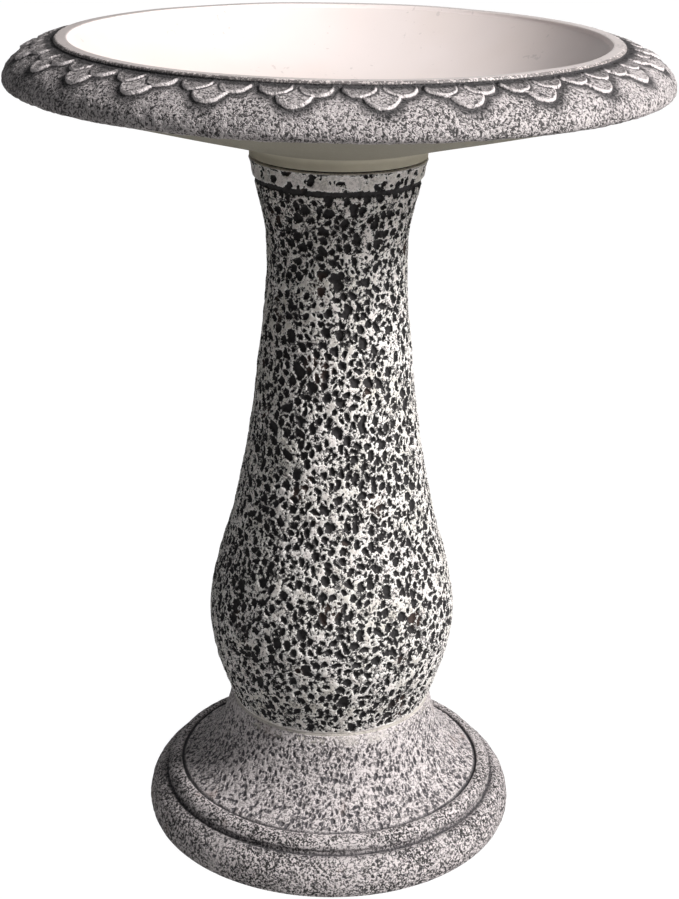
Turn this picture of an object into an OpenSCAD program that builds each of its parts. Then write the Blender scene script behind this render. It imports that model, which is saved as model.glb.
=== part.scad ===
// Bird bath: a cast bowl that rests in the mouth of a hollow baluster
// pedestal, which is bedded in mortar on a hollow bell-shaped base.
// Millimetres, +Z up. The origin is the centre of the base on the ground.

/* [Bowl] */
// Outside radius of the raised lip
lip_r = 220; // [170:1:270]
// Width of the lip's top
lip_w = 11; // [6:1:18]
// Radius of the lip's two rounded edges
lip_round = 2; // [1:0.5:3]
// Height of the lip above the rim beside it
lip_step = 3; // [2:0.5:6]
// Width of the textured rim outside the lip
rim_w = 39.5; // [28:0.5:55]
// Depth of the rim's widest line below the lip
rim_drop = 31; // [24:0.5:42]
// Radius of the roll under the rim's edge
rim_roll = 6; // [3:0.5:9]
// Depth of the dish below the lip
dish_depth = 66; // [50:1:85]
// Thickness of the dish at its centre
dish_t = 16; // [10:1:22]
// Roundness of the dish: higher is flatter below and steeper at the lip
dish_shape = 3.4; // [2.6:0.1:4.4]
// Outside radius of the collar under the bowl
collar_r = 72.5; // [66:0.5:80]
// Height of the collar
collar_h = 10; // [6:0.5:16]
// Radius of the fillet between the collar and the underside
collar_fillet = 5; // [2:0.5:8]

/* [Scalloped border] */
// Number of large scallops; there are twice as many small ones
scallops = 26; // [18:1:32]
// Height that the scallops stand above the rim
scallop_h = 1.6; // [1:0.1:3]
// Radius of a large scallop's round end
big_scallop_r = 12.5; // [8:0.5:16]
// Radius of a small scallop's round end
small_scallop_r = 11.5; // [6:0.5:14]
// Distance from the lip to the tips of the large scallops
big_scallop_reach = 29; // [24:0.5:34]
// Distance from the lip to the tips of the small scallops
small_scallop_reach = 17.5; // [14:0.5:20]

/* [Seat between bowl and pedestal] */
// Outside radius of the spigot under the bowl
spigot_r = 48.5; // [42:0.5:54]
// Length of the spigot below the collar
spigot_h = 26; // [14:1:40]
// Thickness of the spigot's wall
spigot_t = 11; // [7:0.5:16]
// Clearance round the spigot in the pedestal's mouth
spigot_gap = 2; // [1:0.25:3]
// Clearance below the end of the spigot
socket_spare = 4; // [2:0.5:10]
// Thickness of the gasket that the collar stands on
gasket_t = 1.5; // [1:0.25:4]
// Distance that the gasket stays inside the collar's edge
gasket_inset = 3; // [1:0.5:6]

/* [Pedestal] */
// Height of the pedestal casting
pedestal_h = 475; // [380:1:600]
// Thickness of the pedestal's wall
pedestal_wall = 14; // [9:0.5:16]
// Outside radius of the pedestal's top
pedestal_top_r = 73; // [68:0.5:80]
// Outside radius of the pedestal's waist
waist_r = 57; // [50:0.5:64]
// Distance from the top down to the waist
neck_h = 80; // [60:1:110]
// Outside radius of the pedestal's belly
belly_r = 106; // [90:0.5:130]
// Height of the belly above the pedestal's foot
belly_z = 82; // [60:1:110]
// Outside radius of the pedestal's foot
pedestal_foot_r = 86; // [80:0.5:88]
// Height of the plain band above the groove
band_h = 15; // [8:0.5:24]
// Width of the groove below the band
band_groove_w = 4.5; // [2:0.5:8]

/* [Base] */
// Height from the ground to the shoulder that carries the pedestal
base_h = 111; // [95:1:135]
// Thickness of the base's wall
base_wall = 14; // [9:0.5:18]
// Outside radius of the shoulder
base_top_r = 90; // [89:0.5:96]
// Radius of the fine groove at the foot of the flare
fine_groove_r = 131.5; // [126:0.5:138]
// Height of the fine groove
fine_groove_z = 44.5; // [42:0.5:50]
// Radius of the wide groove above the foot ring
wide_groove_r = 146; // [143:0.5:150]
// Height of the wide groove
wide_groove_z = 35; // [33:0.5:38]
// Largest radius of the foot ring
foot_r = 161.5; // [156:0.5:175]
// Height of the foot ring's widest line
foot_mid_z = 10; // [8:0.5:14]
// Width of the foot ring where it rests on the ground
foot_rest_w = 20; // [12:0.5:26]
// Height of the locating ring above the shoulder
register_h = 12; // [6:0.5:20]
// Thickness of the locating ring
register_t = 11; // [7:0.5:16]
// Clearance between the locating ring and the pedestal
register_gap = 1; // [0.5:0.25:2]

/* [Mortar bed] */
// Thickness of the mortar bed between pedestal and base
bed_t = 2; // [1:0.5:5]
// Width of the bead squeezed out past the pedestal's foot
bed_bead = 2.5; // [1:0.5:3]

/* [Hidden] */
$fn = 96;

STONE = [0.70, 0.68, 0.66];
CREAM = [0.86, 0.83, 0.76];
CHARCOAL = [0.27, 0.26, 0.28];
MORTAR = [0.78, 0.76, 0.72];
RUBBER = [0.10, 0.10, 0.10];

// Fine steps along each curved stretch of an outline
CURVE_STEPS = 14;
SWELL_STEPS = 4;
// A little more than nothing, so that a cut passes the face it opens
CUT = 1;

// Heights above the ground
bed_z = base_h;
pedestal_z = base_h + bed_t;
gasket_z = pedestal_z + pedestal_h;
seat_z = gasket_z + gasket_t;
bowl_h = collar_h + dish_t + dish_depth;

// Bowl, measured from its seat
lip_in_r = lip_r - lip_w;
rim_out_r = lip_r + rim_w;
rim_mid_z = bowl_h - rim_drop;
rim_low_r = rim_out_r - rim_roll;
rim_low_z = rim_mid_z - rim_roll;
// The rim's arc is centred this far inside the lip, so that it slopes off the lip
rim_arc_in = rim_w / 2;
rim_arc_a = rim_w + rim_arc_in;
rim_arc_start = acos(rim_arc_in / rim_arc_a);
rim_arc_b = (rim_drop - lip_step) / sin(rim_arc_start);
dish_z = bowl_h - dish_depth;

// Seat
socket_r = spigot_r + spigot_gap;
socket_h = spigot_h + socket_spare - gasket_t;

// Pedestal, measured from its foot
waist_z = pedestal_h - neck_h;
groove_z = pedestal_h - band_h - band_groove_w / 2;
mouth_r = pedestal_foot_r - pedestal_wall;

// Base
register_r = mouth_r - register_gap;
register_in_r = register_r - register_t;
roof_z = base_h - base_wall;
foot_ring_w = foot_r - wide_groove_r + 6;
foot_ring_h = wide_groove_z - foot_mid_z;
fine_groove_w = 2.2;
wide_groove_w = 4.2;

// A point on a cubic curve from a to d that leaves along a-b and arrives along c-d
function curve_point(a, b, c, d, t) =
    pow(1 - t, 3) * a + 3 * pow(1 - t, 2) * t * b + 3 * (1 - t) * t * t * c + pow(t, 3) * d;

// The curve's points, without its last one
function curve(a, b, c, d, steps = CURVE_STEPS) =
    [for (i = [0:steps - 1]) curve_point(a, b, c, d, i / steps)];

// Points on an ellipse's arc from one angle to another
function arc(centre, a, b, from, to, steps = CURVE_STEPS) =
    [for (i = [0:steps]) let (t = from + (to - from) * i / steps) centre + [a * cos(t), b * sin(t)]];

// The radius of an outline at a height
function radius_at(outline, z) = lookup(z, [for (p = outline) [p[1], p[0]]]);

// Share of the belly's swell that is left on the way up from the belly, at 0, to the waist, at 1
SWELL = [[0, 1], [0.15, 0.84], [0.25, 0.65], [0.4, 0.435], [0.55, 0.27], [0.7, 0.155], [0.88, 0.035], [1, 0]];

// Slope of the swell at one of its stations, level at both ends
function swell_slope(i) =
    i == 0 || i == len(SWELL) - 1 ? 0 :
    (SWELL[i + 1][1] - SWELL[i - 1][1]) / (SWELL[i + 1][0] - SWELL[i - 1][0]);

// A smooth curve between two stations of the swell
function swell_between(i, u) =
    let (a = SWELL[i], b = SWELL[i + 1], w = b[0] - a[0])
    [a[0] + w * u,
     (2 * u * u * u - 3 * u * u + 1) * a[1] + (u * u * u - 2 * u * u + u) * w * swell_slope(i)
     + (3 * u * u - 2 * u * u * u) * b[1] + (u * u * u - u * u) * w * swell_slope(i + 1)];

// Outside of the pedestal from foot to top: round up to the belly, the swell, then flared to the top
pedestal_outline = concat(
    [for (i = [0:CURVE_STEPS - 1]) let (u = 90 * (1 - i / CURVE_STEPS))
        [belly_r - (belly_r - pedestal_foot_r) * (1 - cos(u)), belly_z * i / CURVE_STEPS]],
    [for (i = [0:len(SWELL) - 2], k = [0:SWELL_STEPS - 1]) let (p = swell_between(i, k / SWELL_STEPS))
        [waist_r + (belly_r - waist_r) * p[1], belly_z + (waist_z - belly_z) * p[0]]],
    [for (i = [0:CURVE_STEPS]) let (u = i / CURVE_STEPS)
        [waist_r + (pedestal_top_r - waist_r) * (1 - cos(90 * u)), waist_z + neck_h * u]]);

// Outside of the base's flare, from the shoulder down to the fine groove
flare_outline = concat(
    curve([base_top_r, base_h], [base_top_r + 1, base_h - 27],
          [fine_groove_r - 34, fine_groove_z + 20], [fine_groove_r, fine_groove_z]),
    [[fine_groove_r, fine_groove_z]]);

// Inside of the dish from the centre to the lip
dish_outline = [for (i = [0:2 * CURVE_STEPS])
    let (t = sin(90 * i / (2 * CURVE_STEPS)))
    [lip_in_r * t, dish_z + (dish_depth - lip_round) * pow(t, dish_shape)]];

rim_outline = arc([lip_r - rim_arc_in, rim_mid_z], rim_arc_a, rim_arc_b, rim_arc_start, 0);
roll_outline = arc([rim_low_r, rim_mid_z], rim_roll, rim_roll, 0, -90, 6);

// The bowl's cross-section, from its seat at zero
module bowl_section() {
    difference() {
        polygon(concat(
            [[0, dish_z]],
            dish_outline,
            arc([lip_in_r + lip_round, bowl_h - lip_round], lip_round, lip_round, 180, 90, 4),
            arc([lip_r - lip_round, bowl_h - lip_round], lip_round, lip_round, 90, 0, 4),
            rim_outline,
            roll_outline,
            [[collar_r + collar_fillet, collar_h]],
            arc([collar_r + collar_fillet, collar_h - collar_fillet],
                collar_fillet, collar_fillet, 90, 180, 5),
            [[collar_r, 0], [spigot_r, 0], [spigot_r, -spigot_h], [0, -spigot_h]]));
        translate([-CUT, -spigot_h - CUT])
            square([spigot_r - spigot_t + CUT, spigot_h + CUT + dish_z - dish_t]);
    }
}

// The rim's outside raised by the height of the scallops
module raised_rim_section() {
    intersection() {
        polygon(concat(
            [[lip_r - rim_arc_in, 0]],
            [[lip_r - rim_arc_in, bowl_h]],
            arc([lip_r - rim_arc_in, rim_mid_z], rim_arc_a + scallop_h,
                rim_arc_b + scallop_h, rim_arc_start, 0, 7)));
        translate([lip_r + 3, rim_mid_z])
            square([rim_w, rim_drop]);
    }
}

// One row of round-ended tongues that point away from the lip
module scallop_row(count, r, reach, turn) {
    for (i = [0:count - 1])
        rotate([0, 0, turn + i * 360 / count])
            translate([lip_r + reach - r, 0, rim_mid_z - CUT])
                cylinder(r = r, h = rim_drop, $fn = 48);
}

module scallop_border() {
    intersection() {
        rotate_extrude()
            raised_rim_section();
        union() {
            scallop_row(scallops, big_scallop_r, big_scallop_reach, 0);
            scallop_row(2 * scallops, small_scallop_r, small_scallop_reach, 90 / scallops);
        }
    }
}

module bowl() {
    color(CREAM)
        translate([0, 0, seat_z]) {
            rotate_extrude()
                bowl_section();
            scallop_border();
        }
}

module seat_gasket() {
    color(RUBBER)
        translate([0, 0, gasket_z])
            difference() {
                cylinder(r = collar_r - gasket_inset, h = gasket_t);
                translate([0, 0, -CUT])
                    cylinder(r = socket_r, h = gasket_t + 2 * CUT);
            }
}

// The hollow of the pedestal: the outline moved in by the wall, no wider than the mouth above the waist
module pedestal_hollow_section() {
    polygon(concat(
        [[0, -CUT], [mouth_r, -CUT]],
        [for (p = pedestal_outline)
            [p[1] > waist_z ? min(p[0] - pedestal_wall, socket_r) : p[0] - pedestal_wall, p[1]]],
        [[min(pedestal_top_r - pedestal_wall, socket_r), pedestal_h + CUT], [0, pedestal_h + CUT]]));
    translate([0, pedestal_h - socket_h])
        square([socket_r, socket_h + CUT]);
}

module pedestal() {
    color(STONE)
        translate([0, 0, pedestal_z])
            rotate_extrude()
                difference() {
                    polygon(concat([[0, 0]], pedestal_outline, [[0, pedestal_h]]));
                    pedestal_hollow_section();
                    translate([radius_at(pedestal_outline, groove_z) + 0.3, groove_z])
                        circle(r = band_groove_w / 2);
                }
}

module bedding_ring() {
    color(MORTAR)
        translate([0, 0, bed_z])
            difference() {
                cylinder(r = pedestal_foot_r + bed_bead, h = bed_t);
                translate([0, 0, -CUT])
                    cylinder(r = mouth_r, h = bed_t + 2 * CUT);
            }
}

module base() {
    color(CHARCOAL)
        rotate_extrude()
            difference() {
                polygon(concat(
                    [[0, 0]],
                    [[foot_r - foot_rest_w, 0]],
                    arc([foot_r - foot_ring_w, foot_mid_z], foot_ring_w, foot_mid_z * 2, -30, 0, 4),
                    arc([foot_r - foot_ring_w, foot_mid_z], foot_ring_w, foot_ring_h, 0, 78),
                    curve([wide_groove_r, wide_groove_z], [wide_groove_r - 2, wide_groove_z + 6],
                          [fine_groove_r + 8, fine_groove_z + 3], [fine_groove_r, fine_groove_z], 6),
                    [for (i = [len(flare_outline) - 1:-1:0]) flare_outline[i]],
                    [[register_r, base_h], [register_r, base_h + register_h], [0, base_h + register_h]]));
                base_hollow_section();
                translate([fine_groove_r, fine_groove_z + 0.4])
                    circle(r = fine_groove_w / 2);
                translate([wide_groove_r, wide_groove_z + 0.6])
                    circle(r = wide_groove_w / 2);
            }
}

// The hollow under the base: up inside the flare to its roof, then through the locating ring
module base_hollow_section() {
    polygon(concat(
        [[0, -CUT], [foot_r - foot_rest_w, -CUT], [foot_r - foot_rest_w, 0]],
        [[fine_groove_r - base_wall, fine_groove_z - base_wall / 2]],
        [for (i = [len(flare_outline) - 1:-1:0])
            if (flare_outline[i][1] < roof_z) flare_outline[i] - [base_wall, 0]],
        [[radius_at(flare_outline, roof_z) - base_wall, roof_z]],
        [[register_in_r, roof_z], [register_in_r, base_h + register_h + CUT]],
        [[0, base_h + register_h + CUT]]));
}

base();
bedding_ring();
pedestal();
seat_gasket();
bowl();
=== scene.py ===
import math

import bpy
import numpy as np
from mathutils import Matrix, Vector


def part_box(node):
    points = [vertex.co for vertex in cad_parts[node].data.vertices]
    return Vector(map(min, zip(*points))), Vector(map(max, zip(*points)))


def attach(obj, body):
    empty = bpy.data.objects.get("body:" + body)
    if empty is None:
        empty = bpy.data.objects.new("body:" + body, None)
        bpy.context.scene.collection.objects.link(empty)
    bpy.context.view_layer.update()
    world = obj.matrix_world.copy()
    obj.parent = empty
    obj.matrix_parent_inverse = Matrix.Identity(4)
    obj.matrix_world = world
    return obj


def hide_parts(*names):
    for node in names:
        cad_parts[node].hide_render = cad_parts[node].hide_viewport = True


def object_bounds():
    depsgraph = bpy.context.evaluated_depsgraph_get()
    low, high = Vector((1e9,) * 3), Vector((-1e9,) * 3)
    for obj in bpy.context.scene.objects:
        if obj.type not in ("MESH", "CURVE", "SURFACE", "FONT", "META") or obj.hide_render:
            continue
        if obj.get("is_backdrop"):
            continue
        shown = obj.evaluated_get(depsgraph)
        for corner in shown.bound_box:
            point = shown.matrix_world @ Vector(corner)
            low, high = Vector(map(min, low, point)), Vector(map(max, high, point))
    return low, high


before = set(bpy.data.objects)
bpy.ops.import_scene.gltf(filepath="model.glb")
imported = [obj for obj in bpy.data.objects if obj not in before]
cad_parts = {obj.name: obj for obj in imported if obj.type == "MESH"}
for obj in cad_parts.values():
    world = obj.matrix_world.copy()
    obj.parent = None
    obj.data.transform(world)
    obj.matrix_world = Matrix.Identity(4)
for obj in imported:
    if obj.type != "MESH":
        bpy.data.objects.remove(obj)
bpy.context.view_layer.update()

bl_info = {
    "name": "Bird bath",
    "version": (1, 0, 0),
    "blender": (4, 5, 0),
    "location": "3D View > Sidebar > Bird bath",
    "description": "A weathered cast-stone bird bath on a pitted pedestal",
    "category": "Object",
}

MM = 0.001
BOWL_LOW, BOWL_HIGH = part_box("bowl")
GASKET_LOW, GASKET_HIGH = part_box("seat_gasket")
PEDESTAL_LOW, PEDESTAL_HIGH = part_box("pedestal")
BED_LOW, BED_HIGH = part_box("bedding_ring")
BASE_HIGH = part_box("base")[1]
BOWL_R = BOWL_HIGH.x
BASE_R = BASE_HIGH.x
SHOULDER_EASE = 2.5 * MM
TOP_EASE = 1.3 * MM
GASKET_TUCK = 1.8 * MM
CAD_GROOVE_W = 4.5 * MM


# Sizes and colours


def length(name, description, default):
    return bpy.props.FloatProperty(name=name, description=description, default=default,
                                   unit="LENGTH", subtype="DISTANCE", precision=5)


def colour(name, description, default):
    return bpy.props.FloatVectorProperty(name=name, description=description, default=default,
                                         size=3, subtype="COLOR", min=0.0, max=1.0)


def power(name, description, default):
    return bpy.props.FloatProperty(name=name, description=description, default=default, unit="POWER")


def ratio(name, description, default):
    return bpy.props.FloatProperty(name=name, description=description, default=default)


def number(name, description, default):
    return bpy.props.IntProperty(name=name, description=description, default=default, min=1)


class BATH_bowl_sizes(bpy.types.PropertyGroup):
    rim_r: length("Rim radius", "Largest radius of the bowl", BOWL_R)
    lip_r: length("Lip radius", "Outside radius of the raised lip", BOWL_R - 39.5 * MM)
    lip_w: length("Lip width", "Width of the lip's top", 11 * MM)
    lip_round: length("Lip rounding", "Radius of the lip's two edges", 2 * MM)
    lip_step: length("Lip step", "Height of the lip above the rim beside it", 3 * MM)
    rim_drop: length("Rim drop", "Depth of the rim's widest line below the lip", 30.0 * MM)
    rim_roll: length("Rim roll", "Radius of the roll under the rim's edge", 4.2 * MM)
    dish_depth: length("Dish depth", "Depth of the dish below the lip", 66 * MM)
    dish_t: length("Dish thickness", "Thickness of the dish at its centre", 16 * MM)
    dish_shape: ratio("Dish roundness", "Higher is flatter below and steeper at the lip", 3.4)
    collar_r: length("Collar radius", "Outside radius of the collar under the bowl", 71.2 * MM)
    collar_h: length("Collar height", "Height of the collar above the seat", 10 * MM)
    spigot_r: length("Spigot radius", "Outside radius of the spigot", 48.5 * MM)
    spigot_t: length("Spigot wall", "Thickness of the spigot's wall", 11 * MM)
    scallops: number("Large scallops", "There are twice as many small ones", 26)
    large_r: length("Large scallop", "Radius of a large scallop's end", 12.5 * MM)
    small_r: length("Small scallop", "Radius of a small scallop's end", 11.5 * MM)
    large_reach: length("Large reach", "From the lip to the large scallops' tips", 29 * MM)
    small_reach: length("Small reach", "From the lip to the small scallops' tips", 17.5 * MM)
    relief: length("Scallop relief", "Height of a scallop's raised edge", 1.6 * MM)


class BATH_pedestal_sizes(bpy.types.PropertyGroup):
    wall: length("Wall", "Thickness of the pedestal's wall", 14 * MM)
    socket_r: length("Mouth", "Radius of the mouth that takes the spigot", 50.5 * MM)
    band_h: length("Band", "Height of the plain band above the groove", 15 * MM)
    groove_w: length("Groove width", "Width of the groove below the band", 5.4 * MM)
    groove_d: length("Groove depth", "Depth of the groove below the band", 1.3 * MM)
    pit_depth: length("Pit depth", "Depth of the largest pits", 2.6 * MM)
    large_pits: number("Large pits", "Number of large pits", 2900)
    small_pits: number("Small pits", "Number of small pits", 5600)


class BATH_base_sizes(bpy.types.PropertyGroup):
    shoulder_h: length("Shoulder height", "Height of the shoulder under the pedestal", BED_LOW.z)
    shoulder_r: length("Shoulder radius", "Outside radius of the shoulder", 90 * MM)
    wall: length("Wall", "Thickness of the base's wall", 14 * MM)
    fine_r: length("Fine groove radius", "Radius of the fine groove", 131.5 * MM)
    fine_z: length("Fine groove height", "Height of the fine groove", 44.5 * MM)
    wide_r: length("Wide groove radius", "Radius of the wide groove", 146 * MM)
    wide_z: length("Wide groove height", "Height of the wide groove", 35 * MM)
    mid_z: length("Foot ring middle", "Height of the foot ring's widest line", 10 * MM)
    rest_w: length("Foot rest", "Width of the foot ring on the ground", 20 * MM)
    ring_r: length("Locating ring", "Outside radius of the locating ring", 71 * MM)
    ring_t: length("Locating ring wall", "Thickness of the locating ring", 11 * MM)
    pit_depth: length("Pit depth", "Depth of the pits in the flare", 1.3 * MM)
    pits: number("Pits", "Number of pits in the flare", 2700)


class BATH_finish(bpy.types.PropertyGroup):
    dish: colour("Dish cream", "Smooth cream of the dish and lip", (0.785, 0.708, 0.695))
    cream: colour("Cream", "Rubbed cream on the pedestal's high parts", (0.86, 0.805, 0.79))
    # Charcoal also serves as painted shade on the rim: beside the lip, around the scallops and where they
    # tuck under each other.
    charcoal: colour("Charcoal", "Stain in the pits and recesses", (0.013, 0.012, 0.014))
    grey: colour("Grey", "Rubbed grey on the rim and base", (0.56, 0.515, 0.52))
    bare: colour("Underside", "Plain khaki cream under the bowl", (0.46, 0.424, 0.336))
    mortar: colour("Mortar", "Bed between pedestal and base", (0.57, 0.53, 0.49))
    # The gasket's dark colour also stands in for the shadow line in the joint under the bowl's collar.
    rubber: colour("Gasket", "Foam rubber of the seat gasket", (0.042, 0.035, 0.028))


class BATH_stage(bpy.types.PropertyGroup):
    lens: bpy.props.FloatProperty(name="Lens", description="Focal length", default=69.5,
                                  unit="CAMERA")
    pitch: bpy.props.FloatProperty(name="Pitch", description="Camera's angle below level",
                                   default=math.radians(21.0), subtype="ANGLE")
    roll: bpy.props.FloatProperty(name="Roll", description="Camera's turn about its own line of sight",
                                  default=math.radians(0.95), subtype="ANGLE")
    distance: length("Distance", "From the axis back to the camera", 1.3706)
    height: length("Height", "Camera's height above the ground", 0.8641)
    across: length("Across", "Camera's place to the right of the axis", 4.65 * MM)
    key: power("Key", "Power of the main light", 104.0)
    fill: power("Fill", "Power of the high weak light", 5.5)
    low: power("Low light", "Power of the low weak light", 6.0)
    back: power("Back light", "Power of the weak light behind", 7.0)
    floor: colour("Floor", "Colour of the floor", (0.50, 0.50, 0.50))
    glow: ratio("Floor glow", "Brightness of the floor to the camera alone", 1.08)
    glow_share: ratio("Glow share", "Share of the glow in the floor that the camera sees", 0.93)
    sky: ratio("Sky", "Brightness of the surroundings to all but the camera", 0.10)


# Noise on points, the same each run


def lattice(ix, iy, iz, seed):
    h = (ix * 374761393 + iy * 668265263 + iz * 1440662683 + seed * 974634777) & 0xFFFFFFFF
    h = ((h ^ (h >> 13)) * 1274126177) & 0xFFFFFFFF
    return ((h ^ (h >> 16)) & 0xFFFF) / 32767.5 - 1.0


def soft_noise(points, size, seed):
    """Smooth noise from -1 to 1 whose lumps are about one size wide."""
    q = points / size
    cell = np.floor(q).astype(np.int64)
    f = q - cell
    f = f * f * (3 - 2 * f)
    total = np.zeros(len(points))
    for dx in (0, 1):
        wx = f[:, 0] if dx else 1 - f[:, 0]
        for dy in (0, 1):
            wy = f[:, 1] if dy else 1 - f[:, 1]
            for dz in (0, 1):
                wz = f[:, 2] if dz else 1 - f[:, 2]
                total += wx * wy * wz * lattice(cell[:, 0] + dx, cell[:, 1] + dy, cell[:, 2] + dz, seed)
    return total


def smooth(x, low, high):
    t = np.clip((x - low) / (high - low), 0, 1)
    return t * t * (3 - 2 * t)


# Outlines, in metres, as rows of (radius, height)


def line(a, b, step):
    a, b = np.array(a, float), np.array(b, float)
    n = max(1, int(round(np.linalg.norm(b - a) / step)))
    return a + (b - a) * np.linspace(0, 1, n + 1)[:, None]


def evenly(points, step):
    gaps = np.linalg.norm(np.diff(points, axis=0), axis=1)
    along = np.concatenate([[0], np.cumsum(gaps)])
    n = max(1, int(round(along[-1] / step)))
    at = np.linspace(0, along[-1], n + 1)
    return np.stack([np.interp(at, along, points[:, 0]), np.interp(at, along, points[:, 1])], 1)


def arc(centre, a, b, start, end, step):
    t = np.radians(np.linspace(start, end, 200))
    return evenly(np.stack([centre[0] + a * np.cos(t), centre[1] + b * np.sin(t)], 1), step)


def cubic(a, b, c, d, step):
    t = np.linspace(0, 1, 200)[:, None]
    a, b, c, d = (np.array(p, float) for p in (a, b, c, d))
    return evenly((1 - t) ** 3 * a + 3 * (1 - t) ** 2 * t * b + 3 * (1 - t) * t * t * c + t ** 3 * d, step)


class Outline:
    """Stretches of outline joined end to end, each with its number of points round and its finish.
    A stretch starts where the last one ends, unless it is fresh: then its first point is a new one."""

    def __init__(self):
        self.rows, self.counts, self.finishes = [], [], []

    def add(self, points, count, finish=0, fresh=False):
        for p in points[1 if self.rows and not fresh else 0:]:
            self.rows.append(p)
            self.counts.append(count)
            self.finishes.append(finish)

    def add_all(self, stretches, count, finish=0):
        for points in stretches:
            self.add(points, count, finish)


def lathe(name, outline, relief, closed):
    """Turns an outline into one closed skin. relief(skin) gives each point's move along its normal,
    and may leave named values for the materials in skin["values"]."""
    rows = np.array(outline.rows)
    after = np.roll(rows, -1, axis=0) if closed else np.vstack([rows[1:], rows[-1:]])
    before = np.roll(rows, 1, axis=0) if closed else np.vstack([rows[:1], rows[:-1]])
    tangent = after - before
    tangent /= np.linalg.norm(tangent, axis=1)[:, None]
    gaps = np.linalg.norm(np.diff(rows, axis=0), axis=1)
    along = np.concatenate([[0], np.cumsum(gaps)])
    counts = [1 if rows[i, 0] < 1e-6 else c for i, c in enumerate(outline.counts)]
    first = np.concatenate([[0], np.cumsum(counts)])
    row_of = np.repeat(np.arange(len(rows)), counts)
    turn = np.concatenate([np.arange(c) * (2 * math.pi / c) for c in counts])
    r, z = rows[row_of, 0], rows[row_of, 1]
    out, up = tangent[row_of, 1], -tangent[row_of, 0]
    points = np.stack([r * np.cos(turn), r * np.sin(turn), z], 1)
    skin = {"points": points, "r": r, "z": z, "turn": turn, "row": row_of, "along": along,
            "rows": rows, "counts": counts, "first": first, "values": {}, "out": out}
    normals = np.stack([out * np.cos(turn), out * np.sin(turn), up], 1)
    points = points + normals * relief(skin)[:, None]
    faces, finishes = [], []
    pairs = [(i, i + 1) for i in range(len(rows) - 1)]
    if closed:
        pairs.append((len(rows) - 1, 0))
    for i, k in pairs:
        made = faces_between(first[i] + np.arange(counts[i]), first[k] + np.arange(counts[k]))
        faces.extend(made)
        finishes.extend([outline.finishes[k]] * len(made))
    return skin_object(name, points, faces, finishes, skin["values"])


def faces_between(low, high):
    """Faces from one round of points to the next, in numbers of points. Where one round has more points
    than the other, each step of the smaller one is a face with several points on the larger one."""
    n, m = len(low), len(high)
    if n == m:
        return np.stack([low, np.roll(low, -1), np.roll(high, -1), high], 1).tolist()
    if n == 1:
        return np.stack([np.full(m, low[0]), np.roll(high, -1), high], 1).tolist()
    if m == 1:
        return np.stack([low, np.roll(low, -1), np.full(n, high[0])], 1).tolist()
    if n > m:
        each = n // m
        return [list(low[j * each:(j + 1) * each]) + [low[((j + 1) * each) % n]]
                + [high[(j + 1) % m], high[j]] for j in range(m)]
    each = m // n
    return [[low[j], low[(j + 1) % n], high[((j + 1) * each) % m]]
            + list(high[j * each:(j + 1) * each])[::-1] for j in range(n)]


def skin_object(name, points, faces, finishes, values):
    """An object of these faces, each with the number of its finish, and with named values at its points."""
    mesh = bpy.data.meshes.new(name)
    sizes = np.array([len(f) for f in faces])
    mesh.vertices.add(len(points))
    mesh.vertices.foreach_set("co", points.astype(np.float32).ravel())
    mesh.loops.add(int(sizes.sum()))
    mesh.loops.foreach_set("vertex_index", np.concatenate([np.asarray(f) for f in faces]).astype(np.int32))
    mesh.polygons.add(len(faces))
    mesh.polygons.foreach_set("loop_start", np.concatenate([[0], np.cumsum(sizes)[:-1]]).astype(np.int32))
    mesh.polygons.foreach_set("material_index", np.array(finishes, np.int32))
    mesh.polygons.foreach_set("use_smooth", np.ones(len(faces), bool))
    mesh.update(calc_edges=True)
    if mesh.validate():
        raise RuntimeError(f"{name} has faces that don't join up")
    for key, given in values.items():
        mesh.attributes.new(key, "FLOAT", "POINT").data.foreach_set("value", given.astype(np.float32))
    obj = bpy.data.objects.new(name, mesh)
    bpy.context.scene.collection.objects.link(obj)
    return obj


def settle(obj, node, body, materials):
    for material in materials:
        obj.data.materials.append(material)
    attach(obj, body)
    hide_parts(node)


def outside_radius(node, heights):
    """Radius of a turned CAD node's outside at each height, found by looking in towards its axis."""
    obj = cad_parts[node]
    found = []
    for height in heights:
        hit, place, _, _ = obj.ray_cast(Vector((1.0, 0.0, height)), Vector((-1.0, 0.0, 0.0)))
        if not hit:
            raise RuntimeError(f"{node} has no outside at height {height:.4f}")
        found.append(math.hypot(place.x, place.y))
    return np.array(found)


def smoothed(radii, near):
    """The same radii without small steps, each drawn towards its near neighbours on both sides."""
    spread = np.exp(-0.5 * (np.arange(-near, near + 1) / (near / 3)) ** 2)
    spread /= spread.sum()
    before, after = 2 * radii[0] - radii[near:0:-1], 2 * radii[-1] - radii[-2:-near - 2:-1]
    return np.convolve(np.concatenate([before, radii, after]), spread, "valid")


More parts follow.
